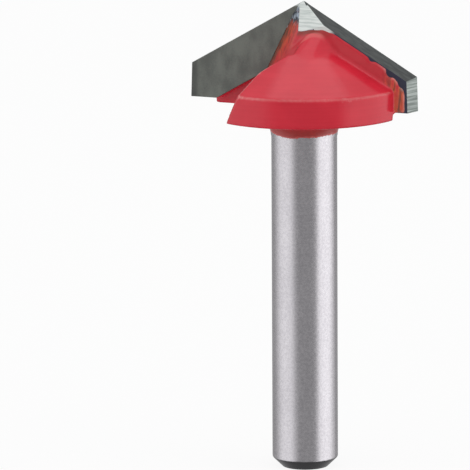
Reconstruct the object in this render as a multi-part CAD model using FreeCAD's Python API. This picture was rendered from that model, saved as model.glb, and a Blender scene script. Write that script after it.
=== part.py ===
"""V groove router bit with a 6 mm shank, a 22 mm cutting diameter and a 120 degree point.

The steel body is turned in one piece: shank, neck, and a head with a cylindrical rim and a conical top.
Two flutes, half a turn apart, are milled across the head. A thin carbide tip is brazed into each flute,
its rake face on the plane through the axis, and the point is ground after brazing.

Millimetres. The origin is the centre of the shank's end face, +Z runs up the axis to the point, and the
two cutting edges lie in the XZ plane. Depths are measured down from the point.
"""
import FreeCAD, Part

import math
import os

from FreeCAD import Rotation, Vector

# Shank
SHANK_DIAMETER = 6.0
SHANK_LENGTH = 30.7
SHANK_CHAMFER_HEIGHT = 0.89
SHANK_CHAMFER_WIDTH = 0.92
CHAMFER_CORNER_RADIUS = 0.3

# Neck: the hollow fillet between the shank and the flat underside of the head
NECK_FILLET_RADIUS = 2.25

# Head
RIM_RADIUS = 9.46
RIM_HEIGHT = 2.66
RIM_EDGE_RADIUS = 0.14
HEAD_TOP_DEPTH = 2.1

# Cutting edges
CUTTING_DIAMETER = 22.0
POINT_ANGLE = 120.0

# Carbide tips
TIP_THICKNESS = 1.5
TIP_WIDTH = 3.91
TIP_NOSE_DEPTH = 1.2
SIDE_EDGE_LENGTH = 3.15
SIDE_EDGE_FLARE = 0.1
V_CLEARANCE_ANGLE = 16.0
SIDE_CLEARANCE_ANGLE = 17.5

# Braze
BRAZE_THICKNESS = 0.1
BRAZE_BEAD_RADIUS = 0.6

# Flutes: a shoulder at the inner end of the tip, a V shaped gullet in front of it, and a flat outer wall.
# Reaches are square to the rake face. Offsets are square to the flute's run: the shoulder's is outwards
# from the axis at the point, and the gullet's and the wall's are inwards.
FLUTE_LEAN = 26.5
SHOULDER_OFFSET = 0.26
GULLET_REACH = 2.87
GULLET_OFFSET = 2.56
GULLET_ROOT_RADIUS = 0.4
WALL_REACH = 6.0
WALL_OFFSET = 0.8
WALL_ANGLE = 1.6

# Point grinding: a flat on the back of each tip and on the steel between the tips
POINT_FLAT_SLOPE = 60.0
POINT_FLAT_TURN = 8.0

HALF_POINT = math.radians(POINT_ANGLE / 2.0)
LEAN = math.radians(FLUTE_LEAN)
CUTTING_RADIUS = CUTTING_DIAMETER / 2.0
SHANK_RADIUS = SHANK_DIAMETER / 2.0
V_DEPTH = CUTTING_RADIUS / math.tan(HALF_POINT)
SEAT_DEPTH = TIP_THICKNESS + BRAZE_THICKNESS

RIM_BOTTOM = SHANK_LENGTH + NECK_FILLET_RADIUS
RIM_TOP = RIM_BOTTOM + RIM_HEIGHT
HEAD_APEX = RIM_TOP + RIM_RADIUS / math.tan(HALF_POINT)
POINT_HEIGHT = HEAD_APEX + HEAD_TOP_DEPTH

# How far a cutter or a block reaches, so that it always passes right through the head
REACH = 2.0 * CUTTING_DIAMETER

AXIS = Vector(0, 0, 1)
POINT = Vector(0, 0, POINT_HEIGHT)


def half_turn(shape):
    """A copy of the shape, turned half a turn about the axis."""
    turned = shape.copy()
    turned.rotate(Vector(0, 0, 0), AXIS, 180.0)
    return turned


def solid_of(shape):
    """The one solid of a boolean result."""
    solids = shape.Solids
    if len(solids) != 1:
        raise ValueError("expected one solid, got %d" % len(solids))
    return solids[0]


def prism(corners, direction):
    """A solid from a closed outline, pushed along a direction."""
    return Part.Face(Part.makePolygon(corners + [corners[0]])).extrude(direction)


def space_above(point, normal):
    """A large block on the side of a plane that its normal points to."""
    turn = Rotation(AXIS, normal)
    block = Part.makeBox(2 * REACH, 2 * REACH, REACH, Vector(-REACH, -REACH, 0))
    block.Placement = FreeCAD.Placement(point, turn)
    return block


def at_depth(x, y, depth):
    """A point at a depth below the tool's point."""
    return Vector(x, y, POINT_HEIGHT - depth)


def circle_edges(shape, radius, height):
    """The round edges of a turned shape at a radius and height."""
    found = []
    for edge in shape.Edges:
        curve = edge.Curve
        if isinstance(curve, Part.Circle):
            if abs(curve.Radius - radius) < 1e-6 and abs(curve.Center.z - height) < 1e-6:
                found.append(edge)
    return found


def turned_blank():
    """The steel body as it leaves the lathe."""
    fillet_centre = Vector(SHANK_RADIUS + NECK_FILLET_RADIUS, 0, SHANK_LENGTH)
    fillet_way = math.radians(135.0)
    fillet_middle = fillet_centre + Vector(math.cos(fillet_way), 0, math.sin(fillet_way)) * NECK_FILLET_RADIUS
    foot = Vector(0, 0, 0)
    end_corner = Vector(SHANK_RADIUS - SHANK_CHAMFER_WIDTH, 0, 0)
    chamfer_top = Vector(SHANK_RADIUS, 0, SHANK_CHAMFER_HEIGHT)
    shank_top = Vector(SHANK_RADIUS, 0, SHANK_LENGTH)
    fillet_end = Vector(SHANK_RADIUS + NECK_FILLET_RADIUS, 0, RIM_BOTTOM)
    rim_low = Vector(RIM_RADIUS, 0, RIM_BOTTOM)
    rim_high = Vector(RIM_RADIUS, 0, RIM_TOP)
    head_apex = Vector(0, 0, HEAD_APEX)
    outline = Part.Wire([
        Part.LineSegment(foot, end_corner).toShape(),
        Part.LineSegment(end_corner, chamfer_top).toShape(),
        Part.LineSegment(chamfer_top, shank_top).toShape(),
        Part.Arc(shank_top, fillet_middle, fillet_end).toShape(),
        Part.LineSegment(fillet_end, rim_low).toShape(),
        Part.LineSegment(rim_low, rim_high).toShape(),
        Part.LineSegment(rim_high, head_apex).toShape(),
        Part.LineSegment(head_apex, foot).toShape(),
    ])
    blank = Part.Face(outline).revolve(Vector(0, 0, 0), AXIS, 360.0)
    rim_edges = circle_edges(blank, RIM_RADIUS, RIM_BOTTOM) + circle_edges(blank, RIM_RADIUS, RIM_TOP)
    blank = blank.makeFillet(RIM_EDGE_RADIUS, rim_edges)
    shank_edges = circle_edges(blank, SHANK_RADIUS, SHANK_CHAMFER_HEIGHT)
    return solid_of(blank.makeFillet(CHAMFER_CORNER_RADIUS, shank_edges))


def flute_run():
    """The direction in which the first tip's flute leaves the head, down and outwards."""
    return Vector(math.sin(LEAN), 0, -math.cos(LEAN))


def flute_point(reach, offset):
    """A corner of the flute's section, from its reach off the rake plane and its outward offset."""
    outward = Vector(math.cos(LEAN), 0, math.sin(LEAN))
    return POINT + outward * offset + Vector(0, reach, 0)


def gullet_root():
    """The start, middle and end of the round in the bottom of the V shaped gullet."""
    corner = flute_point(GULLET_REACH, -GULLET_OFFSET)
    inner = (flute_point(0, SHOULDER_OFFSET) - corner).normalize()
    outer = (flute_point(WALL_REACH, -WALL_OFFSET) - corner).normalize()
    half_opening = inner.getAngle(outer) / 2.0
    bisector = (inner + outer).normalize()
    tangent_length = GULLET_ROOT_RADIUS / math.tan(half_opening)
    centre = corner + bisector * (GULLET_ROOT_RADIUS / math.sin(half_opening))
    middle = centre - bisector * GULLET_ROOT_RADIUS
    return corner + inner * tangent_length, middle, corner + outer * tangent_length


def flute():
    """The space of the first tip's flute: the seat of the tip and the chips' way past it."""
    start, middle, end = gullet_root()
    wall_end_offset = -WALL_OFFSET + (REACH - WALL_REACH) * math.tan(math.radians(WALL_ANGLE))
    straight = [
        end,
        flute_point(WALL_REACH, -WALL_OFFSET),
        flute_point(REACH, wall_end_offset),
        flute_point(REACH, REACH),
        flute_point(-SEAT_DEPTH, REACH),
        flute_point(-SEAT_DEPTH, SHOULDER_OFFSET),
        flute_point(0, SHOULDER_OFFSET),
        start,
    ]
    edges = [Part.Arc(start, middle, end).toShape()]
    for near, far in zip(straight, straight[1:]):
        edges.append(Part.LineSegment(near, far).toShape())
    section = Part.Face(Part.Wire(edges))
    section.translate(flute_run() * -REACH)
    return section.extrude(flute_run() * (2 * REACH))


def v_clearance_space():
    """What lies above the ground faces behind the first cutting edge."""
    edge = Vector(math.sin(HALF_POINT), 0, -math.cos(HALF_POINT))
    square_out = Vector(math.cos(HALF_POINT), 0, math.sin(HALF_POINT))
    relief = math.radians(V_CLEARANCE_ANGLE)
    back = Vector(0, -math.cos(relief), 0) - square_out * math.sin(relief)
    normal = edge.cross(back).normalize()
    if normal.z < 0:
        normal = normal * -1.0
    return space_above(POINT, normal)


def side_clearance_space():
    """What lies outboard of the ground side face of the first tip."""
    corner = at_depth(CUTTING_RADIUS, 0, V_DEPTH)
    down = Vector(SIDE_EDGE_FLARE, 0, -SIDE_EDGE_LENGTH).normalize()
    relief = math.radians(SIDE_CLEARANCE_ANGLE)
    back = Vector(-math.sin(relief), -math.cos(relief), 0)
    normal = down.cross(back).normalize()
    if normal.x < 0:
        normal = normal * -1.0
    return space_above(corner, normal)


def point_flat_space():
    """What the flat on the back of the point takes away."""
    slope = math.radians(POINT_FLAT_SLOPE)
    turn = math.radians(POINT_FLAT_TURN)
    normal = Vector(-math.sin(slope) * math.sin(turn), -math.sin(slope) * math.cos(turn), math.cos(slope))
    return space_above(POINT, normal)


def tip_outline(shoulder_gap):
    """The first tip's outline in the rake plane, its inner end a gap away from the steel shoulder."""
    slope = 1.0 / math.tan(HALF_POINT)
    lower_gap = TIP_WIDTH / math.sin(HALF_POINT)
    side_low_depth = V_DEPTH + SIDE_EDGE_LENGTH
    # The inner end is the line x cos(LEAN) - depth sin(LEAN) = inner
    inner = SHOULDER_OFFSET + shoulder_gap
    nose_x = (inner + TIP_NOSE_DEPTH * math.sin(LEAN)) / math.cos(LEAN)
    # The lower edge, at depth = lower_gap + slope x, crosses it at the heel
    heel_x = (inner + lower_gap * math.sin(LEAN)) / (math.cos(LEAN) - slope * math.sin(LEAN))
    return [
        at_depth(0, 0, 0),
        at_depth(CUTTING_RADIUS, 0, V_DEPTH),
        at_depth(CUTTING_RADIUS + SIDE_EDGE_FLARE, 0, side_low_depth),
        at_depth((side_low_depth - lower_gap) / slope, 0, side_low_depth),
        at_depth(heel_x, 0, lower_gap + slope * heel_x),
        at_depth(nose_x, 0, TIP_NOSE_DEPTH),
    ]


def tip_blank():
    """The first carbide tip before grinding."""
    return prism(tip_outline(BRAZE_THICKNESS), Vector(0, -TIP_THICKNESS, 0))


def tip_seat():
    """The space that the first tip and the braze behind it take from the steel."""
    return prism(tip_outline(0.0), Vector(0, -SEAT_DEPTH, 0))


def cutting_tip():
    """The first carbide tip: its rake face looks to +Y, and its back lies on the braze."""
    tip = tip_blank().cut(v_clearance_space())
    tip = tip.cut(side_clearance_space())
    tip = tip.cut(point_flat_space())
    return solid_of(tip)


def rib():
    """The steel that stands between the two tips, as thick as both, ground with them at the point."""
    corner = Vector(-RIM_RADIUS, -TIP_THICKNESS, RIM_BOTTOM)
    block = Part.makeBox(2 * RIM_RADIUS, 2 * TIP_THICKNESS, POINT_HEIGHT - RIM_BOTTOM, corner)
    for ground_away in (v_clearance_space(), point_flat_space()):
        block = block.cut(ground_away)
        block = block.cut(half_turn(ground_away))
    return block


def steel_stock():
    """The turned blank with the rib on it, before the flutes."""
    return turned_blank().fuse(rib())


def tool_body():
    """The steel body: the stock, fluted twice and recessed for the noses of the tips."""
    body = steel_stock()
    for milled_away in (flute(), tip_seat()):
        body = body.cut(milled_away)
        body = body.cut(half_turn(milled_away))
    return solid_of(body)


def bead():
    """The hollow fillet of braze where the back of the first tip stands up from the head."""
    drum = Part.makeCylinder(RIM_RADIUS, RIM_HEIGHT, Vector(0, 0, RIM_BOTTOM))
    cone = Part.makeCone(RIM_RADIUS, 0, HEAD_APEX - RIM_TOP, Vector(0, 0, RIM_TOP))
    wall = Part.makeBox(2 * REACH, REACH, REACH, Vector(-REACH, -TIP_THICKNESS, RIM_BOTTOM))
    sharp = drum.fuse(cone).fuse(wall)
    corners = []
    for edge in sharp.Edges:
        if isinstance(edge.Curve, Part.Hyperbola):
            corners.append(edge)
    fillet = sharp.makeFillet(BRAZE_BEAD_RADIUS, corners).cut(sharp)
    fillet = fillet.common(Part.makeCylinder(RIM_RADIUS - RIM_EDGE_RADIUS, POINT_HEIGHT))
    return fillet.cut(half_turn(flute()))


def braze():
    """The braze of the first tip: the layer behind it and at its inner end, and the bead along its back."""
    layer = tip_seat().cut(tip_blank()).common(steel_stock())
    return solid_of(layer.fuse(bead()).removeSplitter())


def main():
    """Writes one file for each piece."""
    os.makedirs("parts", exist_ok=True)
    tip = cutting_tip()
    joint = braze()
    pieces = {
        "tool_body": tool_body(),
        "cutting_tip_1": tip,
        "cutting_tip_2": half_turn(tip),
        "braze_1": joint,
        "braze_2": half_turn(joint),
    }
    for name, piece in pieces.items():
        piece.exportStep("parts/" + name + ".step")
        print("%s: %.2f mm3" % (name, piece.Volume))


main()
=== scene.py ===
"""The looks of a v groove router bit: a red enamelled steel body, two carbide tips and their braze.

Everything is in metres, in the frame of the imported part: +Z runs up the axis to the point, and the two
cutting edges lie in the XZ plane. Sizes on the object are written in millimetres and multiplied by MM.
"""
import logging
import math
from dataclasses import dataclass, field
from enum import Enum
from functools import cached_property

import bpy
from mathutils import Matrix, Vector


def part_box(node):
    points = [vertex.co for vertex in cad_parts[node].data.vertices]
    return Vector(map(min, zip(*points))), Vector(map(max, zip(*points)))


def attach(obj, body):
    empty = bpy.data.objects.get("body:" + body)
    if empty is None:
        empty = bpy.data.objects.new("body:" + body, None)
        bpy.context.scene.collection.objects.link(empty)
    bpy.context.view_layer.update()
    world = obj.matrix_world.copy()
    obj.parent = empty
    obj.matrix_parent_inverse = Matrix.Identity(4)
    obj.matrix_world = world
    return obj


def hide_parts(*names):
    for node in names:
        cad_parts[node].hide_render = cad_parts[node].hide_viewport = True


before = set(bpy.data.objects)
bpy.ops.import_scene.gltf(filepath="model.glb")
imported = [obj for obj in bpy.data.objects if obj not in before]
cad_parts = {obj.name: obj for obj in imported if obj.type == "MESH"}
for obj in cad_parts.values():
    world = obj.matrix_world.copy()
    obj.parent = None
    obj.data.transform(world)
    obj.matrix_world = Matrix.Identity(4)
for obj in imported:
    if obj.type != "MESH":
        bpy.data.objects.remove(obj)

LOG = logging.getLogger("router_bit")

MM = 0.001
PHOTO_PIXELS = 470

POINT = Vector((0.0, 0.0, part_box("tool_body")[1].z))
TIP_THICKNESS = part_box("cutting_tip_2")[1].y
TIP_LEAN = math.radians(26.5)
# Across from the axis and down from the point, in millimetres.
TIP_INNER_END = (-1.23, 1.65)
FLAT_SLOPE = math.radians(60.0)
FLAT_TURN = math.radians(8.0)
UPWARDS = Vector((0.0, 0.0, 1.0))

MERGE_DISTANCE = 0.0002 * MM
CUT_TOLERANCE = 0.0001 * MM
WHITE = (1.0, 1.0, 1.0, 1.0)
MIX_FACTOR = 0
MIX_LOW = 6
MIX_HIGH = 7
MIX_RESULT = 2

Socket = bpy.types.NodeSocket


class Side(Enum):
    """Which of the two tips a piece belongs to: its value is the sign of the tip's place along X."""

    FIRST = 1
    SECOND = -1

    @property
    def node(self) -> str:
        """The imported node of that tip."""
        return "cutting_tip_1" if self is Side.FIRST else "cutting_tip_2"


@dataclass(frozen=True)
class Pattern:
    """A noise: its features to a millimetre along x, y and z, its octaves, and a shift that sets it apart."""

    per_mm: tuple[float, float, float]
    detail: float = 3.0
    seed: float = 0.0


class Term:
    """A number that varies over a surface: a socket on which Python's operators add Math nodes."""

    def __init__(self, graph: "Graph", socket: Socket) -> None:
        """Wraps an output socket that gives a number."""
        self.graph = graph
        self.socket = socket

    def maths(self, operation: str, *numbers: "Term | float") -> "Term":
        """The result of one new Math node with that operation and those inputs, in order."""
        inputs = {index: number for index, number in enumerate(numbers)}
        return self.graph.term("ShaderNodeMath", {"operation": operation}, inputs)

    def __add__(self, other: "Term | float") -> "Term":
        """self + other."""
        return self.maths("ADD", self, other)

    def __radd__(self, other: float) -> "Term":
        """other + self."""
        return self.maths("ADD", other, self)

    def __sub__(self, other: "Term | float") -> "Term":
        """self - other."""
        return self.maths("SUBTRACT", self, other)

    def __rsub__(self, other: float) -> "Term":
        """other - self."""
        return self.maths("SUBTRACT", other, self)

    def __mul__(self, other: "Term | float") -> "Term":
        """self * other."""
        return self.maths("MULTIPLY", self, other)

    def __rmul__(self, other: float) -> "Term":
        """other * self."""
        return self.maths("MULTIPLY", other, self)

    def __truediv__(self, other: "Term | float") -> "Term":
        """self / other."""
        return self.maths("DIVIDE", self, other)

    def __abs__(self) -> "Term":
        """The size of self, without its sign."""
        return self.maths("ABSOLUTE", self)

    def sign(self) -> "Term":
        """1 where self is above zero and -1 where it is below."""
        return self.maths("SIGN", self)

    def angle_from(self, other: "Term") -> "Term":
        """The angle in degrees of a direction with self across and other ahead."""
        return self.maths("ARCTAN2", self, other) * math.degrees(1.0)

    def at_most(self, other: "Term | float") -> "Term":
        """The smaller of the two."""
        return self.maths("MINIMUM", self, other)

    def at_least(self, other: "Term | float") -> "Term":
        """The larger of the two."""
        return self.maths("MAXIMUM", self, other)

    def step(self, low: float, high: float) -> "Term":
        """A smooth step.

        Args:
            low: the value at which the step is 0.
            high: the value at which it is 1, which may be the smaller of the two.

        Returns:
            The step.
        """
        settings = {"interpolation_type": "SMOOTHSTEP", "clamp": True}
        inputs = {"Value": self, "From Min": low, "From Max": high}
        return self.graph.term("ShaderNodeMapRange", settings, inputs, "Result")


class Graph:
    """The node tree of one material or world, in which one method makes every node."""

    def __init__(self, owner: bpy.types.Material | bpy.types.World) -> None:
        """Starts with an empty tree.

        Args:
            owner: the material or the world that the nodes are for.
        """
        owner.use_nodes = True
        self.owner = owner
        self.tree = owner.node_tree
        self.tree.nodes.clear()

    @cached_property
    def coordinates(self) -> bpy.types.Node:
        """The Texture Coordinate node, made when it is first needed."""
        return self.node("ShaderNodeTexCoord")

    @property
    def place(self) -> Socket:
        """The place on the object, in metres."""
        return self.coordinates.outputs["Object"]

    @property
    def normal(self) -> Socket:
        """The surface's own normal."""
        return self.coordinates.outputs["Normal"]

    def node(self, kind: str, settings: dict | None = None, inputs: dict | None = None) -> bpy.types.Node:
        """Makes one node.

        Args:
            kind: the node's type.
            settings: its properties.
            inputs: its sockets, each with a number, a colour, a Term or a socket to link.

        Returns:
            The new node.
        """
        made = self.tree.nodes.new(kind)
        for name, value in (settings or {}).items():
            setattr(made, name, value)
        for name, value in (inputs or {}).items():
            socket = made.inputs[name]
            if isinstance(value, Term):
                self.tree.links.new(value.socket, socket)
            elif isinstance(value, Socket):
                self.tree.links.new(value, socket)
            else:
                socket.default_value = value
        return made

    def term(self, kind: str, settings: dict, inputs: dict, output: str | int = 0) -> Term:
        """Makes one node and wraps one of its outputs, so that it can be used in an expression."""
        return Term(self, self.node(kind, settings, inputs).outputs[output])

    def axes(self) -> tuple[Term, Term, Term]:
        """The place on the object, in millimetres, as x, y and z."""
        parts = self.node("ShaderNodeSeparateXYZ", {}, {"Vector": self.place})
        return tuple(Term(self, parts.outputs[axis]) * (1.0 / MM) for axis in range(3))

    def folded_axes(self) -> tuple[Term, Term, Term]:
        """The place with one half turned on to the other, because each half is the other's half turn.

        Returns:
            x, y and z in millimetres, where y is never above zero.
        """
        x, y, z = self.axes()
        turn = y.sign() * -1.0
        return x * turn, y * turn, z

    def seen(self, directly: float, in_gloss: float) -> Term:
        """How much of a pale background a ray sees.

        Args:
            directly: the share for the camera's own rays.
            in_gloss: the share for rays that a shiny or clear surface sends on.

        Returns:
            The share.
        """
        path = self.node("ShaderNodeLightPath")
        camera = Term(self, path.outputs["Is Camera Ray"])
        glossy = Term(self, path.outputs["Is Glossy Ray"])
        through = Term(self, path.outputs["Is Transmission Ray"])
        return camera * directly + (glossy + through).at_most(1.0) * in_gloss

    def dot(self, vector: Socket, direction: Vector) -> Term:
        """The dot product of a vector that varies and one that doesn't."""
        inputs = {0: vector, 1: tuple(direction)}
        return self.term("ShaderNodeVectorMath", {"operation": "DOT_PRODUCT"}, inputs, "Value")

    def facing(self, direction: Vector) -> Term:
        """The cosine of the angle between the surface's own normal and a direction."""
        return self.dot(self.normal, direction.normalized())

    def noise(self, pattern: Pattern, shift: float = 0.0) -> Term:
        """Noise from 0 to 1.

        Args:
            pattern: how fine it is.
            shift: a further shift, so that two pieces differ.

        Returns:
            The noise.
        """
        scale = tuple(count / MM for count in pattern.per_mm)
        seed = pattern.seed + shift
        mapping = {"Vector": self.place, "Scale": scale, "Location": (seed, seed, seed)}
        moved = self.node("ShaderNodeMapping", {}, mapping)
        inputs = {"Vector": moved.outputs["Vector"], "Scale": 1.0, "Detail": pattern.detail}
        return self.term("ShaderNodeTexNoise", {}, inputs, "Fac")

    def blend(self, factor: Term, low: tuple | Socket, high: tuple | Socket) -> Socket:
        """A colour between two colours.

        Args:
            factor: 0 for low, 1 for high.
            low: a colour or a colour's socket.
            high: a colour or a colour's socket.

        Returns:
            The mixed colour's socket.
        """
        settings = {"data_type": "RGBA", "clamp_factor": True}
        inputs = {MIX_FACTOR: factor, MIX_LOW: low, MIX_HIGH: high}
        return self.node("ShaderNodeMix", settings, inputs).outputs[MIX_RESULT]

    def bump(self, height: Term, strength: float) -> Socket:
        """A normal bumped by a height in millimetres."""
        inputs = {"Height": height, "Distance": MM, "Strength": strength}
        return self.node("ShaderNodeBump", {}, inputs).outputs["Normal"]

    def surface(self, inputs: dict) -> Socket:
        """A Principled shader with those sockets."""
        return self.node("ShaderNodeBsdfPrincipled", {}, inputs).outputs["BSDF"]

    def mix_surfaces(self, factor: Term, low: Socket, high: Socket) -> Socket:
        """One shader where the factor is 0 and another where it is 1."""
        return self.node("ShaderNodeMixShader", {}, {0: factor, 1: low, 2: high}).outputs[0]

    def finish(self, shader: Socket) -> bpy.types.Material | bpy.types.World:
        """Links a shader to the tree's output.

        Args:
            shader: the shader's socket.

        Returns:
            The material or the world that the tree belongs to.
        """
        in_world = isinstance(self.owner, bpy.types.World)
        kind = "ShaderNodeOutputWorld" if in_world else "ShaderNodeOutputMaterial"
        self.node(kind, {}, {"Surface": shader})
        return self.owner


def rgb(red: int, green: int, blue: int) -> tuple[float, float, float, float]:
    """A scene colour from screen values of 0 to 255.

    Args:
        red: the red value.
        green: the green value.
        blue: the blue value.

    Returns:
        The linear red, green and blue, and full cover.
    """
    parts = []
    for value in (red, green, blue):
        share = value / 255.0
        parts.append(share / 12.92 if share <= 0.04045 else ((share + 0.055) / 1.055) ** 2.4)
    return (*parts, 1.0)


def flat_normal(side: Side) -> Vector:
    """The outward normal of the ground flat on the back of a tip and of the rib beside it.

    Args:
        side: which tip.

    Returns:
        The normal.
    """
    across = math.sin(FLAT_SLOPE)
    return Vector((
        -across * math.sin(FLAT_TURN) * side.value,
        -across * math.cos(FLAT_TURN) * side.value,
        math.cos(FLAT_SLOPE),
    ))


@dataclass(frozen=True)
class Enamel:
    """Glossy red enamel, orange-brown where it was scorched, with painted shade, highlights and edge glints.
    """

    full: tuple = rgb(214, 43, 61)
    deep: tuple = rgb(203, 36, 54)
    scorched: tuple = rgb(216, 94, 60)
    brown: tuple = rgb(132, 70, 52)
    # The colour of painted shade.
    shaded: tuple = rgb(144, 57, 50)
    # The colour of painted dark shade in the corners beside the tips.
    corner_shade_tone: tuple = rgb(86, 62, 48)
    # The colour of a painted highlight.
    painted_highlight: tuple = rgb(232, 132, 128)
    # The colour of painted glints on outward edges.
    painted_edge_glint: tuple = rgb(250, 200, 196)
    roughness: float = 0.13
    refraction: float = 1.42
    wave_height: float = 0.010
    dimple_height: float = 0.0012
    turning_height: float = 0.0025
    lip_height: float = 0.02
    # Pointiness at which the painted edge glints begin and are full.
    sharp_from: float = 0.507
    sharp_to: float = 0.55
    clouds: Pattern = Pattern((0.3, 0.3, 0.3))
    streaks: Pattern = Pattern((3.0, 3.0, 0.55), seed=4.0)
    spots: Pattern = Pattern((1.6, 1.6, 1.6), seed=6.0)
    turning: Pattern = Pattern((0.12, 0.12, 5.0), seed=11.0)
    waves: Pattern = Pattern((0.8, 0.8, 0.8), detail=2.0, seed=7.0)
    dimples: Pattern = Pattern((4.0, 4.0, 4.0), detail=2.0, seed=2.0)
    polish: Pattern = Pattern((1.5, 1.5, 1.5), detail=2.0, seed=9.0)

    def shader(self, graph: Graph, scorch: Term, corner_shade: Term, shade: Term, painted_highlight: Term, wear_and_glint: Term) -> Socket:
        """The enamel's shader.

        Args:
            graph: the material's nodes.
            scorch: 0 for a full red coat, 1 for one scorched orange and brown in streaks.
            corner_shade: 1 where painted dark brown shade lies in the corner beside a tip.
            shade: 1 where painted shade darkens the coat.
            painted_highlight: 1 where a painted pale highlight lies, also raised a little in the bump.
            wear_and_glint: 1 where painted pale glints lie along outward edges.

        Returns:
            The shader's socket.
        """
        clouds = graph.noise(self.clouds)
        streaks = graph.noise(self.streaks)
        spots = graph.noise(self.spots)
        turning = graph.noise(self.turning)
        red = graph.blend(clouds.step(0.35, 0.7) * 0.7 + turning.step(0.3, 0.7) * 0.3, self.deep, self.full)
        burnt = graph.blend(streaks.step(0.45, 0.62), self.scorched, self.brown)
        colour = graph.blend(scorch * (spots * 0.6 + streaks).step(0.45, 0.85), red, burnt)
        # Painted shade.
        colour = graph.blend(shade, colour, self.shaded)
        # Painted dark shade beside the tips.
        colour = graph.blend(corner_shade * (streaks * 0.5 + 0.55).at_most(1.0), colour, self.corner_shade_tone)
        # A painted highlight.
        colour = graph.blend(painted_highlight, colour, self.painted_highlight)
        # Painted pale glints on outward edges.
        colour = graph.blend(self.painted_edge_glints(graph, spots) * wear_and_glint, colour, self.painted_edge_glint)
        waves = graph.noise(self.waves) * self.wave_height
        dimples = graph.noise(self.dimples) * self.dimple_height
        roughness = graph.noise(self.polish) * 0.08 + self.roughness
        height = waves + dimples + turning * self.turning_height + painted_highlight * self.lip_height
        return graph.surface({
            "Base Color": colour,
            "Roughness": roughness,
            "Normal": graph.bump(height, 1.0),
            "IOR": self.refraction,
        })

    def painted_edge_glints(self, graph: Graph, spots: Term) -> Term:
        """Painted pale glints along the outward edges, uneven along them."""
        pointed = graph.term("ShaderNodeNewGeometry", {}, {}, "Pointiness")
        return pointed.step(self.sharp_from, self.sharp_to) * (spots * 0.9 + 0.3).at_most(1.0)


@dataclass(frozen=True)
class ShankSteel:
    """Satin steel ground between centres: faint rings, a fine grain all over and blotches of handling."""

    pale: tuple = rgb(209, 206, 210)
    dull: tuple = rgb(168, 165, 170)
    chamfer: tuple = rgb(132, 131, 134)
    roughness: float = 0.27
    chamfer_top: float = 1.9
    rings: Pattern = Pattern((0.2, 0.2, 16.0), seed=1.0)
    bands: Pattern = Pattern((0.05, 0.05, 1.6), seed=5.0)
    blotches: Pattern = Pattern((0.6, 0.6, 0.25), detail=4.0, seed=3.0)
    grain: Pattern = Pattern((5.0, 5.0, 5.0), seed=10.0)
    wear: Pattern = Pattern((0.5, 0.5, 0.5), detail=2.0, seed=2.0)

    def shader(self, graph: Graph) -> Socket:
        """The bare shank's shader.

        Args:
            graph: the material's nodes.

        Returns:
            The shader's socket.
        """
        rings = graph.noise(self.rings)
        bands = graph.noise(self.bands)
        blotches = graph.noise(self.blotches)
        grain = graph.noise(self.grain)
        mix = rings * 0.2 + grain.step(0.3, 0.7) * 0.4 + blotches * 0.3 + bands * 0.1
        colour = graph.blend(mix, self.dull, self.pale)
        worn_in = graph.noise(self.wear) * 0.3
        low = graph.axes()[2]
        near_end = (low + worn_in).step(self.chamfer_top + 0.3, self.chamfer_top)
        on_chamfer = graph.facing(-UPWARDS).step(0.15, 0.35) * near_end
        colour = graph.blend(on_chamfer, colour, self.chamfer)
        return graph.surface({
            "Base Color": colour,
            "Metallic": 1.0,
            "Roughness": grain * 0.08 + bands * 0.08 + (self.roughness - 0.08),
            "Normal": graph.bump(rings * 0.003 + grain * 0.004 + blotches * 0.004, 1.0),
        })


@dataclass(frozen=True)
class GroundFlat:
    """The pale flat ground last of all at the point, with fine level grinding lines."""

    pale: tuple = rgb(224, 229, 226)
    dull: tuple = rgb(192, 200, 197)
    lines: Pattern = Pattern((0.5, 0.5, 9.0), detail=4.0, seed=2.0)
    deep_lines: Pattern = Pattern((0.3, 0.3, 3.0), detail=2.0, seed=8.0)

    def shader(self, graph: Graph) -> Socket:
        """The ground flat's shader.

        Args:
            graph: the material's nodes.

        Returns:
            The shader's socket.
        """
        lines = graph.noise(self.lines)
        deep_lines = graph.noise(self.deep_lines).step(0.60, 0.66)
        colour = graph.blend(lines.step(0.3, 0.6) - deep_lines * 0.5, self.dull, self.pale)
        return graph.surface({
            "Base Color": colour,
            "Metallic": 0.35,
            "Roughness": lines * 0.15 + 0.38,
            "Normal": graph.bump(lines * 0.004, 1.0),
        })


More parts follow.
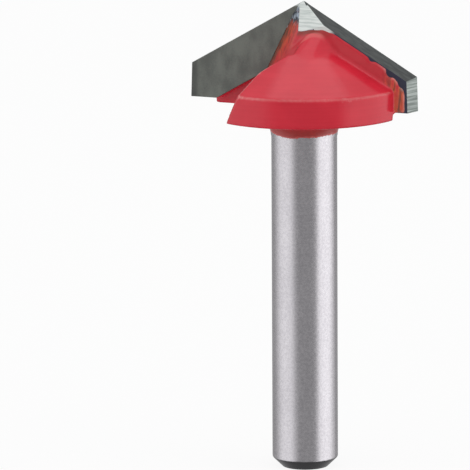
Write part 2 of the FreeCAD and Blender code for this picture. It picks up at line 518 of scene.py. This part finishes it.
@dataclass(frozen=True)
class Carbide:
    """Sintered carbide: matte and mottled on the rake face, fine ground on the V and on the side."""

    rake: tuple = rgb(118, 122, 116)
    rake_dark: tuple = rgb(97, 100, 96)
    clearance: tuple = rgb(90, 93, 92)
    clearance_dark: tuple = rgb(70, 72, 72)
    back: tuple = rgb(52, 54, 72)
    side: tuple = rgb(162, 169, 166)
    side_dark: tuple = rgb(104, 111, 108)
    wear_and_glint: tuple = rgb(198, 206, 204)
    worn_drop: float = 0.62
    worn_reach: float = 1.15
    dark_end: float = 10.55
    mottle: Pattern = Pattern((0.7, 0.7, 0.45), detail=6.0, seed=1.0)
    grain: Pattern = Pattern((7.0, 7.0, 7.0), seed=6.0)
    side_lines: Pattern = Pattern((0.3, 0.3, 7.0), detail=4.0, seed=3.0)
    edge_lines: Pattern = Pattern((1.0, 5.0, 1.0), detail=4.0, seed=8.0)

    def shader(self, graph: Graph, side: Side) -> Socket:
        """The bare carbide's shader, each face with its own grinding.

        Args:
            graph: the material's nodes.
            side: which tip it is for.

        Returns:
            The shader's socket.
        """
        x, _, z = graph.axes()
        outwards = x * side.value
        drop = POINT.z / MM - z
        on_rake = graph.facing(Vector((0.0, side.value, 0.0))).step(0.75, 0.9)
        on_back = graph.facing(Vector((0.0, -side.value, 0.0))).step(0.8, 0.93)
        on_side = graph.facing(Vector((side.value, 0.0, 0.0))).step(0.8, 0.92)
        mottle = graph.noise(self.mottle, side.value)
        grain = graph.noise(self.grain)
        side_lines = graph.noise(self.side_lines)
        edge_lines = graph.noise(self.edge_lines)
        rake = graph.blend((mottle * 0.75 + grain * 0.25).step(0.35, 0.65), self.rake_dark, self.rake)
        at_end = (outwards + mottle * 0.5).step(self.dark_end, self.dark_end + 0.4)
        rake = graph.blend(at_end * 0.55, rake, self.clearance_dark)
        at_point = drop.step(self.worn_drop, self.worn_drop - 0.22)
        wear_and_glint = at_point * outwards.step(self.worn_reach, self.worn_reach - 0.25) * (0.75 + grain * 0.5)
        rake = graph.blend(wear_and_glint, rake, self.wear_and_glint)
        clearance = graph.blend(edge_lines.step(0.3, 0.7), self.clearance_dark, self.clearance)
        ground_side = graph.blend(side_lines.step(0.32, 0.70), self.side_dark, self.side)
        colour = graph.blend(on_rake, clearance, rake)
        colour = graph.blend(on_back, colour, self.back)
        colour = graph.blend(on_side, colour, ground_side)
        height = grain * 0.0012 * on_rake + side_lines * 0.004 * on_side
        height = height + edge_lines * 0.0015 * (1.0 - on_rake)
        return graph.surface({
            "Base Color": colour,
            "Metallic": 0.55,
            "Roughness": on_rake * 0.20 + grain * 0.06 + 0.34,
            "Normal": graph.bump(height, 1.0),
        })


@dataclass(frozen=True)
class GulletSteel:
    """Dark bare steel with pale blue streaks, where the flute runs out at the point."""

    dark: tuple = rgb(62, 66, 74)
    streaked: tuple = rgb(170, 182, 196)
    bright: tuple = rgb(214, 220, 219)
    streaks: Pattern = Pattern((5.0, 5.0, 0.9), seed=12.0)

    def shader(self, graph: Graph, drop: Term) -> Socket:
        """The bare gullet's shader.

        Args:
            graph: the material's nodes.
            drop: the depth below the point, in millimetres.

        Returns:
            The shader's socket.
        """
        streaks = graph.noise(self.streaks).step(0.48, 0.62)
        colour = graph.blend(streaks, self.dark, self.streaked)
        colour = graph.blend(drop.step(0.75, 0.45), colour, self.bright)
        return graph.surface({"Base Color": colour, "Metallic": 0.6, "Roughness": streaks * 0.1 + 0.4})


@dataclass
class BodyPaintwork:
    """Where each finish lies on the steel body, worked out from the places of its faces.

    Heights are in millimetres from the floor. The flat's end, the gullet's top and the painted highlight
    band's centre are in millimetres below the point.
    """

    paint_end: float = 31.05
    paint_wave: float = 0.40
    gullet_top: float = 2.05
    gullet_facing: tuple = (0.69, 0.62, 0.38)
    flat_end: float = 3.2
    neck_top: float = 32.4
    # Heights between which the painted edge glints lie on the cone.
    glint_bottom: float = 33.2
    glint_top: float = 38.3
    # Centre, radii and strength of the painted highlight band over each lobe's arch.
    highlight_centre: tuple = (1.85, 4.15)
    highlight_radii: tuple = (1.45, 1.55)
    highlight_strength: float = 0.42
    waves: Pattern = Pattern((0.35, 0.35, 0.05), detail=2.0, seed=3.0)
    ragged: Pattern = Pattern((2.5, 2.5, 2.5), seed=5.0)
    fringe: Pattern = Pattern((2.0, 2.0, 0.8), seed=3.0)

    def steel(self) -> bpy.types.Material:
        """The steel: satin on the shank, dark and streaked in the gullets, and bright on the ground flats.

        Returns:
            The material.
        """
        graph = Graph(bpy.data.materials.new("steel_finish"))
        x, y, z = graph.folded_axes()
        drop = POINT.z / MM - z
        shader = ShankSteel().shader(graph)
        shader = graph.mix_surfaces(drop.step(8.0, 7.0), shader, GulletSteel().shader(graph, drop))
        above_end = drop.step(self.flat_end, self.flat_end - 0.1)
        on_flat = abs(self.flat_distance(x, y, drop)).step(0.05, 0.03) * above_end
        return graph.finish(graph.mix_surfaces(on_flat, shader, GroundFlat().shader(graph)))

    def enamel(self) -> bpy.types.Material:
        """The enamel, with the steel below its wavy edge on the neck and at the gullets' tops.

        Returns:
            The material.
        """
        graph = Graph(bpy.data.materials.new("enamel_finish"))
        x, y, z = graph.folded_axes()
        drop = POINT.z / MM - z
        # Where the coat begins on the neck, and the strength of a painted highlight along its edge.
        painted, neck_edge_highlight = self.paint_edge(graph, z)
        gullet = self.gullet_mask(graph)
        scorch = gullet * self.beyond_tip(x, drop).step(2.2, 0.2) * drop.step(7.5, 3.0)
        red_walls = 1.0 - gullet
        faces_back = graph.facing(Vector((0.0, 1.0, 0.0))) * graph.axes()[1].sign()
        on_tip = abs(y + TIP_THICKNESS / MM).step(0.25, 0.15) * red_walls * faces_back.step(0.5, 0.8)
        scorch = scorch.at_least(on_tip * (x + drop * 0.35).step(9.9, 12.2))
        # Painted shade: under the ground flat and along its edge, on the neck, in the gullets and on the
        # tips' backs.
        shade_under_flat = on_tip * drop.step(3.4, 2.6) * x.step(4.2, 2.6)
        neck = z.step(self.neck_top, self.neck_top - 0.9)
        flat_edge_shadow = on_tip * self.flat_distance(x, y, drop).step(-0.30, -0.08)
        shade = (shade_under_flat * 0.6).at_least(neck * 0.75).at_least(flat_edge_shadow)
        shade = shade.at_least(gullet * 0.25 + on_tip * 0.12)
        # Painted dark brown shade in the corner between each gullet wall and its tip.
        corner_shade = gullet * self.beyond_tip(x, drop).step(0.75, 0.05)
        # Painted pale glints on the cone's outward edges, stronger on the left, none on gullet walls or under
        # painted shade.
        above_rim = z.step(self.glint_bottom, self.glint_bottom + 1.2)
        on_cone = above_rim * z.step(self.glint_top, self.glint_top - 0.7)
        wear_and_glint = (x.step(1.0, -1.5) * 0.5 + 0.5) * red_walls * (1.0 - shade) * on_cone
        # A painted highlight band over the arch of each lobe's top.
        nose_highlight = self.nose_highlight_band(x, y, drop)
        enamel = Enamel().shader(graph, scorch, corner_shade, shade, neck_edge_highlight.at_least(nose_highlight), wear_and_glint)
        shader = graph.mix_surfaces(painted, ShankSteel().shader(graph), enamel)
        fringe = drop + graph.noise(self.fringe) * 0.9
        bare = gullet * fringe.step(self.gullet_top + 0.6, self.gullet_top)
        return graph.finish(graph.mix_surfaces(bare, shader, GulletSteel().shader(graph, drop)))

    def paint_edge(self, graph: Graph, z: Term) -> tuple[Term, Term]:
        """Where the enamel ends on the neck.

        Args:
            graph: the material's nodes.
            z: the height in millimetres.

        Returns:
            1 above the enamel's wavy edge, and the strength of a painted highlight on the rim along that
            edge.
        """
        waves = (graph.noise(self.waves) - 0.5) * (2.0 * self.paint_wave)
        ragged = (graph.noise(self.ragged) - 0.5) * 0.25
        above = z - (waves + ragged + self.paint_end)
        return above.step(-0.02, 0.02), above.step(0.22, 0.04) * 0.35

    def nose_highlight_band(self, x: Term, y: Term, drop: Term) -> Term:
        """A painted highlight band over the arch of a lobe's top.

        Args:
            x: the folded place across, in millimetres.
            y: the folded place behind, in millimetres.
            drop: the depth below the point, in millimetres.

        Returns:
            The band's strength.
        """
        across = (x - self.highlight_centre[0]) / self.highlight_radii[0]
        up = (drop - self.highlight_centre[1]) / self.highlight_radii[1]
        ring = across * across + up * up
        band = ring.step(0.50, 0.78) * ring.step(1.12, 0.92)
        return band * x.step(2.9, 2.2) * drop.step(4.1, 3.6) * y.step(-2.5, -2.2) * self.highlight_strength

    def gullet_mask(self, graph: Graph) -> Term:
        """Where the inner walls of both gullets are.

        Args:
            graph: the material's nodes.

        Returns:
            1 on those walls.
        """
        across, behind, up = self.gullet_facing
        first = graph.facing(Vector((across, behind, up))).step(0.86, 0.95)
        second = graph.facing(Vector((-across, -behind, up))).step(0.86, 0.95)
        return first + second

    @staticmethod
    def beyond_tip(x: Term, drop: Term) -> Term:
        """How far a place in the gullet is from the inner end of the tip beside it.

        Args:
            x: the folded place across, in millimetres.
            drop: the depth below the point, in millimetres.

        Returns:
            The distance in millimetres.
        """
        across, below = TIP_INNER_END
        inner_end = across * math.cos(TIP_LEAN) + below * math.sin(TIP_LEAN)
        return x * math.cos(TIP_LEAN) + drop * math.sin(TIP_LEAN) - inner_end

    @staticmethod
    def flat_distance(x: Term, y: Term, drop: Term) -> Term:
        """The distance from the plane of the ground flat, in millimetres, in folded places."""
        normal = flat_normal(Side.FIRST)
        return x * normal.x + y * normal.y - drop * normal.z


@dataclass
class SteelBody:
    """The turned and ground steel where it shows, on the shank and at the point. The coat covers the rest."""

    edge_width: float = 0.03 * MM
    hidden_from: float = 31.6 * MM
    hidden_to: float = 40.6 * MM

    def build(self) -> bpy.types.Object:
        """Copies the shank, and the point with the braze that runs flush into it, and joins them.

        Returns:
            The piece.
        """
        shank = merged_copy("tool_body", "steel_body")
        cut(shank, UPWARDS * self.hidden_from, -UPWARDS)
        point = merged_copy("tool_body", "steel_point")
        for number in (1, 2):
            combine(point, merged_copy(f"braze_{number}", f"seam_{number}"), "UNION")
        cut(point, UPWARDS * self.hidden_to, UPWARDS)
        join(shank, [point])
        whole_faces(shank)
        soften_edges(shank, self.edge_width)
        dress(shank, BodyPaintwork().steel())
        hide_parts("tool_body", "braze_1", "braze_2")
        return shank


@dataclass
class EnamelCoat:
    """The coat over the head, neck, braze beads and backs of the tips, as one skin that rounds every edge.

    Places are in millimetres from the point, as for the first tip. The other half is its half turn. A limit
    is a place on a plane and the way that is kept, and a slope is a place on it, its angle from level and its
    turn. A block is its centre and its size, and a chip is its place across and up and its radius.
    """

    bottom: float = 30.8 * MM
    top: float = 42.2 * MM
    spare_foot: float = 0.4 * MM
    cell: float = 0.12 * MM
    rounding: int = 8
    thickness: float = 0.03 * MM
    skin_lift: float = 0.05
    skin_root: float = -1.1
    skin_limits: tuple = (
        ((0.0, -1.5, -0.534), (-0.5, 0.0, -math.cos(math.radians(30.0)))),
        ((0.17, -1.5, -2.50), (0.182, 0.0, -0.983)),
        ((2.3, -1.5, -1.98), (-0.42, 0.0, -0.9075)),
        ((9.3, -1.5, -6.2), (-0.75, 0.0, -0.66)),
        ((10.42, -1.5, -8.0), (-1.0, 0.0, 0.0)),
    )
    nose_base: tuple = (1.85, -1.42, -4.2)
    nose_radii: tuple = (1.50, 1.66)
    nose_length: float = 3.4
    nose_slopes: tuple = (
        ((1.85, -1.5, -2.60), math.radians(40.0), math.radians(12.0)),
        ((2.55, -1.5, -2.90), math.radians(54.0), math.radians(50.0)),
    )
    corner_place: tuple = (0.05, -1.5, -3.62)
    corner_normal: tuple = (-0.598, -0.347, 0.722)
    corner_block: tuple = ((0.2, -2.4, -3.0), 3.0)
    flat_recess: float = 0.06
    flat_block: tuple = ((1.0, -0.5, -1.5), 6.0)
    soft_centre: tuple = (2.0, -2.4, -3.9)
    soft_reach: float = 2.1
    soft_rounds: int = 24
    chip_depth: float = -1.55
    chips: dict = field(default_factory=lambda: {
        Side.FIRST: ((7.22, -4.62, 0.36), (8.30, -5.24, 0.13), (9.05, -5.80, 0.50), (10.05, -6.85, 0.34),
                     (10.42, -7.55, 0.22), (10.55, -8.6, 0.26)),
        Side.SECOND: ((4.60, -3.08, 0.24), (7.90, -5.00, 0.18), (8.55, -5.45, 0.34), (9.60, -6.50, 0.26),
                      (10.45, -7.9, 0.28), (10.5, -9.2, 0.24)),
    })

    def build(self) -> bpy.types.Object:
        """Joins what the coat covers, runs it together into one skin, and dresses it.

        Returns:
            The piece.
        """
        parts = [merged_copy("tool_body", "enamel_coat")]
        parts.extend(merged_copy(f"braze_{number}", f"bead_{number}") for number in (1, 2))
        parts.extend(self.nose(side) for side in Side)
        for side in Side:
            for part in parts:
                combine(part, self.corner_cutter(side), "DIFFERENCE")
        parts.extend(self.tip_skin(side) for side in Side)
        for side in Side:
            for part in parts:
                combine(part, self.flat_cutter(side), "DIFFERENCE")
        coat = parts[0]
        cut(coat, UPWARDS * (self.bottom - self.spare_foot), UPWARDS)
        join(coat, parts[1:])
        self.run_together(coat)
        for side in Side:
            self.soften_nose(coat, side)
        cut(coat, UPWARDS * self.bottom, UPWARDS)
        cut(coat, UPWARDS * self.top, -UPWARDS)
        only(coat)
        bpy.ops.object.shade_smooth_by_angle(angle=math.radians(50.0))
        dress(coat, BodyPaintwork().enamel())
        return coat

    def run_together(self, coat: bpy.types.Object) -> None:
        """Makes one skin of the joined solids, rounds its edges and gives it its thickness.

        Args:
            coat: the joined solids.
        """
        skin = coat.modifiers.new("skin", "REMESH")
        skin.mode = "VOXEL"
        skin.voxel_size = self.cell
        rounded = coat.modifiers.new("rounded", "SMOOTH")
        rounded.factor = 0.5
        rounded.iterations = self.rounding
        thick = coat.modifiers.new("thick", "DISPLACE")
        thick.strength = self.thickness
        thick.mid_level = 0.0
        apply_modifiers(coat)

    def nose(self, side: Side) -> bpy.types.Object:
        """The swelling on top of one lobe: an arch on the tip's back, cut off by two slopes.

        Args:
            side: which lobe.

        Returns:
            The swelling.
        """
        across, behind, up = self.nose_base
        middle = (across, behind - self.nose_length * 0.5, up)
        bpy.ops.object.select_all(action="DESELECT")
        bpy.ops.mesh.primitive_cylinder_add(
            vertices=64, radius=MM, depth=self.nose_length * MM,
            location=place_on(side, middle), rotation=(math.radians(90.0), 0.0, 0.0),
        )
        nose = bpy.context.active_object
        nose.name = f"nose_{side.name.lower()}"
        nose.scale = (*self.nose_radii, 1.0)
        bpy.ops.object.transform_apply(location=True, rotation=True, scale=True)
        for place, slope, turn in self.nose_slopes:
            lying = math.sin(slope)
            outwards = (lying * math.sin(turn), -lying * math.cos(turn), math.cos(slope))
            cut(nose, place_on(side, place), -direction_on(side, outwards))
        return nose

    def soften_nose(self, coat: bpy.types.Object, side: Side) -> None:
        """Smooths the coat over one lobe's top, so that the nose flows into the cone.

        Args:
            coat: the coat.
            side: which lobe.
        """
        only(coat)
        bpy.ops.object.mode_set(mode="EDIT")
        bpy.ops.mesh.select_all(action="DESELECT")
        bpy.ops.object.mode_set(mode="OBJECT")
        centre = place_on(side, self.soft_centre)
        for corner in coat.data.vertices:
            corner.select = (corner.co - centre).length < self.soft_reach * MM
        bpy.ops.object.mode_set(mode="EDIT")
        bpy.ops.mesh.vertices_smooth(factor=0.5, repeat=self.soft_rounds)
        bpy.ops.object.mode_set(mode="OBJECT")

    def tip_skin(self, side: Side) -> bpy.types.Object:
        """The slab of enamel on the back of one tip, up to its near edge and short of its side, chipped.

        Args:
            side: which tip.

        Returns:
            The slab.
        """
        skin = merged_copy(side.node, f"tip_skin_{side.name.lower()}")
        root = ((0.0, self.skin_root, 0.0), (0.0, -1.0, 0.0))
        for place, normal in (root, *self.skin_limits):
            cut(skin, place_on(side, place), direction_on(side, normal))
        only(skin)
        bpy.ops.transform.translate(value=direction_on(side, (0.0, -self.skin_lift * MM, 0.0)))
        bpy.ops.object.transform_apply(location=True, rotation=True, scale=True)
        for across, up, radius in self.chips[side]:
            bpy.ops.object.select_all(action="DESELECT")
            place = place_on(side, (across, self.chip_depth, up))
            bpy.ops.mesh.primitive_ico_sphere_add(subdivisions=2, radius=radius * MM, location=place)
            chip = bpy.context.active_object
            bpy.ops.object.transform_apply(location=True, rotation=True, scale=True)
            combine(skin, chip, "DIFFERENCE")
        return skin

    def corner_cutter(self, side: Side) -> bpy.types.Object:
        """The tool that takes the corner off a lobe's top, where the gullet runs out beside the rib.

        Args:
            side: which lobe.

        Returns:
            The tool.
        """
        limits = (
            ((0.0, -1.5, 0.0), (0.0, -1.0, 0.0)),
            (self.corner_place, self.corner_normal),
        )
        return self.cutter(side, *self.corner_block, limits)

    def flat_cutter(self, side: Side) -> bpy.types.Object:
        """The tool that keeps the coat a hair below the ground flat of the rib and of the tip.

        Args:
            side: which half.

        Returns:
            The tool.
        """
        normal = flat_normal(Side.FIRST)
        limits = (
            ((0.0, -1.75, 0.0), (0.0, 1.0, 0.0)),
            (tuple(normal * -self.flat_recess), tuple(normal)),
        )
        return self.cutter(side, *self.flat_block, limits)

    @staticmethod
    def cutter(side: Side, centre: tuple, size: float, limits: tuple) -> bpy.types.Object:
        """A block with faces on some planes, to cut other solids with.

        Args:
            side: the half that it is for.
            centre: the block's centre.
            size: the block's size before it is cut down.
            limits: planes, each a place on it and its normal towards what is kept.

        Returns:
            The block.
        """
        bpy.ops.object.select_all(action="DESELECT")
        bpy.ops.mesh.primitive_cube_add(size=size * MM, location=place_on(side, centre))
        block = bpy.context.active_object
        bpy.ops.object.transform_apply(location=True, rotation=True, scale=True)
        for place, normal in limits:
            cut(block, place_on(side, place), direction_on(side, normal))
        return block


@dataclass
class CuttingTip:
    """One brazed carbide tip. The enamel on its back belongs to the coat."""

    side: Side
    edge_width: float = 0.015 * MM
    flat_tail: float = 3.7

    def build(self) -> bpy.types.Object:
        """Copies the solid's mesh, breaks its edges by a hair, and dresses it.

        Returns:
            The piece.
        """
        node = self.side.node
        piece = merged_copy(node, f"carbide_tip_{self.side.name.lower()}")
        whole_faces(piece)
        soften_edges(piece, self.edge_width)
        dress(piece, self.material())
        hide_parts(node)
        return piece

    def material(self) -> bpy.types.Material:
        """Bare carbide, with the ground flat at the point.

        Returns:
            The material.
        """
        graph = Graph(bpy.data.materials.new(f"carbide_finish_{self.side.name.lower()}"))
        x, y, z = graph.axes()
        outwards = x * self.side.value
        behind = y * self.side.value
        flat = flat_normal(Side.FIRST)
        off_flat = outwards * flat.x + behind * flat.y + (z - POINT.z / MM) * flat.z
        on_flat = abs(off_flat).step(0.04, 0.02) * behind.step(-0.25, -0.3)
        on_tail = behind.step(-1.40, -1.48) * outwards.step(self.flat_tail, self.flat_tail - 0.7)
        on_flat = on_flat.at_least(on_tail)
        shader = Carbide().shader(graph, self.side)
        return graph.finish(graph.mix_surfaces(on_flat, shader, GroundFlat().shader(graph)))


@dataclass
class Studio:
    """The pale floor, the soft lamps and the camera at the photograph's angle."""

    azimuth: float = math.radians(22.0515)
    elevation: float = math.radians(11.0621)
    roll: float = math.radians(-0.2767)
    distance: float = 791.6657 * MM
    focal_pixels: float = 8674.5434
    aim_right: float = -6.3478 * MM
    aim_height: float = 21.5192 * MM
    sensor: float = 36.0
    clip_start: float = 0.05
    clip_end: float = 20.0
    floor_size: float = 6.0
    floor_seen: float = 0.90
    gloss_seen: float = 0.1
    surround: float = 0.29
    ceiling: float = 0.405
    least: float = 0.08
    right_panel: float = 1.35
    right_edges: tuple = ((34.0, 56.0), (136.0, 96.0))
    left_panel: float = 0.95
    left_edges: tuple = ((-28.0, -56.0), (-140.0, -88.0))
    panel_heights: tuple = ((-0.85, -0.45), (0.75, 0.35))
    dark_back: float = 0.60
    back_from: tuple = (115.0, 150.0)
    back_heights: tuple = ((0.02, 0.15), (0.85, 0.60))
    softbox_place: tuple = (0.0135, 0.055, 0.50)
    softbox_size: tuple = (0.267, 0.51)
    softbox_radiance: float = 0.80
    softbox_colour: tuple = (0.92, 0.98, 1.0)

    def build(self) -> None:
        """Adds the floor, the lamps, the world and the camera."""
        self.floor()
        self.world()
        self.overhead()
        self.camera()

    def camera(self) -> None:
        """The camera, with the lens, place and roll that were fitted to the photograph's outline."""
        back = Vector((
            math.sin(self.azimuth) * math.cos(self.elevation),
            -math.cos(self.azimuth) * math.cos(self.elevation),
            math.sin(self.elevation),
        ))
        right = Vector((math.cos(self.azimuth), math.sin(self.azimuth), 0.0))
        up = back.cross(right)
        rolled_right = right * math.cos(self.roll) + up * math.sin(self.roll)
        rolled_up = up * math.cos(self.roll) - right * math.sin(self.roll)
        place = right * self.aim_right + UPWARDS * self.aim_height + back * self.distance
        data = bpy.data.cameras.new("photo_camera")
        data.sensor_width = self.sensor
        data.lens = self.focal_pixels / PHOTO_PIXELS * self.sensor
        data.clip_start = self.clip_start
        data.clip_end = self.clip_end
        camera = bpy.data.objects.new("photo_camera", data)
        turn = Matrix((rolled_right, rolled_up, back)).transposed()
        camera.matrix_world = Matrix.Translation(place) @ turn.to_4x4()
        bpy.context.scene.collection.objects.link(camera)
        bpy.context.scene.camera = camera

    def overhead(self) -> None:
        """The level softbox over the bit, which shows in reflections but not to the camera."""
        width, depth = self.softbox_size
        data = bpy.data.lights.new("overhead", "AREA")
        data.shape = "RECTANGLE"
        data.size = width
        data.size_y = depth
        data.energy = self.softbox_radiance * math.pi * width * depth
        data.color = self.softbox_colour
        lamp = bpy.data.objects.new("overhead", data)
        lamp.location = Matrix.Rotation(self.azimuth, 3, "Z") @ Vector(self.softbox_place)
        lamp.rotation_euler = (0.0, 0.0, self.azimuth)
        lamp.visible_camera = False
        bpy.context.scene.collection.objects.link(lamp)

    def world(self) -> None:
        """A white surround for the camera, and for the object a grey tent with a pale panel on each side.

        The panels' edges are in degrees round the object from the camera. Heights are the sine of the angle
        above level.
        """
        scene = bpy.context.scene
        scene.world = bpy.data.worlds.new("surround")
        graph = Graph(scene.world)
        direction = graph.coordinates.outputs["Generated"]
        to_right = graph.dot(direction, Vector((math.cos(self.azimuth), math.sin(self.azimuth), 0.0)))
        to_camera = graph.dot(direction, Vector((math.sin(self.azimuth), -math.cos(self.azimuth), 0.0)))
        upwards = graph.dot(direction, UPWARDS)
        turn = to_right.angle_from(to_camera)
        right_panel = self.between(turn, self.right_edges) * self.right_panel
        left_panel = self.between(turn, self.left_edges) * self.left_panel
        level = self.between(upwards, self.panel_heights)
        tent = upwards.step(-1.0, -0.4) * self.surround + upwards.step(0.1, 0.6) * self.ceiling + self.least
        back = abs(turn).step(*self.back_from) * self.between(upwards, self.back_heights)
        strength = (right_panel + left_panel) * level + tent * (1.0 - back * self.dark_back)
        soft = graph.node("ShaderNodeBackground", {}, {"Color": WHITE, "Strength": strength})
        white = graph.node("ShaderNodeBackground", {}, {"Color": WHITE, "Strength": 1.0})
        share = graph.seen(1.0, self.gloss_seen)
        graph.finish(graph.mix_surfaces(share, soft.outputs[0], white.outputs[0]))
        scene.view_settings.view_transform = "Standard"

    @staticmethod
    def between(value: Term, edges: tuple) -> Term:
        """1 where a value lies between two soft edges, each given as where it is 0 and where it is 1."""
        first, last = edges
        return value.step(*first) * value.step(*last)

    def floor(self) -> None:
        """The pale floor that the bit stands on, which keeps its shadow."""
        bpy.ops.object.select_all(action="DESELECT")
        bpy.ops.mesh.primitive_plane_add(size=self.floor_size, location=(0.0, 0.0, 0.0))
        floor = bpy.context.active_object
        floor.name = "floor"
        graph = Graph(bpy.data.materials.new("floor_white"))
        paper = graph.node("ShaderNodeBsdfDiffuse", {}, {"Color": rgb(238, 238, 238)})
        glow = graph.node("ShaderNodeEmission", {}, {"Color": WHITE, "Strength": 1.0})
        share = graph.seen(self.floor_seen, self.gloss_seen)
        shader = graph.mix_surfaces(share, paper.outputs[0], glow.outputs[0])
        floor.data.materials.append(graph.finish(shader))
        floor.visible_glossy = False


def merged_copy(node: str, name: str) -> bpy.types.Object:
    """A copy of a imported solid's mesh, with its loose triangles merged.

    Args:
        node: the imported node's name.
        name: the new piece's name.

    Returns:
        The new piece, at the origin, active and the only one selected.
    """
    piece = bpy.data.objects.new(name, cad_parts[node].data.copy())
    bpy.context.scene.collection.objects.link(piece)
    piece.data.materials.clear()
    only(piece)
    bpy.ops.object.mode_set(mode="EDIT")
    bpy.ops.mesh.select_all(action="SELECT")
    bpy.ops.mesh.remove_doubles(threshold=MERGE_DISTANCE)
    bpy.ops.object.mode_set(mode="OBJECT")
    return piece


def only(piece: bpy.types.Object) -> None:
    """Makes a piece the active one and the only one selected.

    Args:
        piece: the piece.
    """
    bpy.ops.object.select_all(action="DESELECT")
    piece.select_set(True)
    bpy.context.view_layer.objects.active = piece


def place_on(side: Side, place: tuple) -> Vector:
    """A place in metres, from one in millimetres from the point as for the first tip."""
    across, behind, up = place
    return Vector((across * side.value, behind * side.value, up)) * MM + POINT


def direction_on(side: Side, direction: tuple) -> Vector:
    """A direction as for the first tip, turned to its side."""
    across, behind, up = direction
    return Vector((across * side.value, behind * side.value, up))


def cut(piece: bpy.types.Object, place: Vector, normal: Vector) -> None:
    """Cuts a closed mesh with a plane, closes the cut, and keeps what the normal points to.

    Args:
        piece: the piece.
        place: a place on the plane.
        normal: the plane's normal.
    """
    only(piece)
    bpy.ops.object.mode_set(mode="EDIT")
    bpy.ops.mesh.select_all(action="SELECT")
    bpy.ops.mesh.bisect(
        plane_co=place, plane_no=normal, use_fill=True, clear_inner=True, threshold=CUT_TOLERANCE,
    )
    bpy.ops.object.mode_set(mode="OBJECT")


def whole_faces(piece: bpy.types.Object) -> None:
    """Turns the triangles of each flat face into one face.

    Args:
        piece: the piece.
    """
    only(piece)
    bpy.ops.object.mode_set(mode="EDIT")
    bpy.ops.mesh.select_all(action="SELECT")
    bpy.ops.mesh.dissolve_limited(angle_limit=math.radians(0.3))
    bpy.ops.object.mode_set(mode="OBJECT")


def soften_edges(piece: bpy.types.Object, width: float) -> None:
    """Bevels the sharp edges of a piece and keeps its faces flat to the light.

    Args:
        piece: the piece.
        width: the bevel's width.
    """
    only(piece)
    bpy.ops.object.shade_smooth_by_angle(angle=math.radians(35.0))
    bevel = piece.modifiers.new("softened_edges", "BEVEL")
    bevel.limit_method = "ANGLE"
    bevel.angle_limit = math.radians(20.0)
    bevel.width = width
    bevel.segments = 2
    bevel.harden_normals = True
    apply_modifiers(piece)


def apply_modifiers(piece: bpy.types.Object) -> None:
    """Applies all of a piece's modifiers, first to last.

    Args:
        piece: the piece.
    """
    only(piece)
    for name in [modifier.name for modifier in piece.modifiers]:
        bpy.ops.object.modifier_apply(modifier=name)


def combine(piece: bpy.types.Object, other: bpy.types.Object, operation: str) -> None:
    """Adds another solid to a piece, or takes it away, and deletes the other solid.

    Args:
        piece: the piece.
        other: the other solid.
        operation: the Boolean modifier's operation.
    """
    modifier = piece.modifiers.new("combined", "BOOLEAN")
    modifier.operation = operation
    modifier.object = other
    modifier.solver = "EXACT"
    apply_modifiers(piece)
    bpy.data.objects.remove(other, do_unlink=True)


def join(piece: bpy.types.Object, others: list[bpy.types.Object]) -> None:
    """Joins other pieces' meshes to a piece.

    Args:
        piece: the piece.
        others: the other pieces.
    """
    only(piece)
    for other in others:
        other.select_set(True)
    bpy.ops.object.join()


def dress(piece: bpy.types.Object, finish: bpy.types.Material) -> None:
    """Gives a piece its finish and its body.

    Args:
        piece: the piece.
        finish: its material.
    """
    piece.data.materials.clear()
    piece.data.materials.append(finish)
    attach(piece, "root")
    LOG.info("%s: %d faces", piece.name, len(piece.data.polygons))


def main() -> None:
    """Builds the studio and the bit."""
    logging.basicConfig(level=logging.INFO, format="%(message)s")
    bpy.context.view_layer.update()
    Studio().build()
    SteelBody().build()
    EnamelCoat().build()
    for side in Side:
        CuttingTip(side).build()
    bpy.ops.object.select_all(action="DESELECT")


if __name__ == "__main__":
    main()
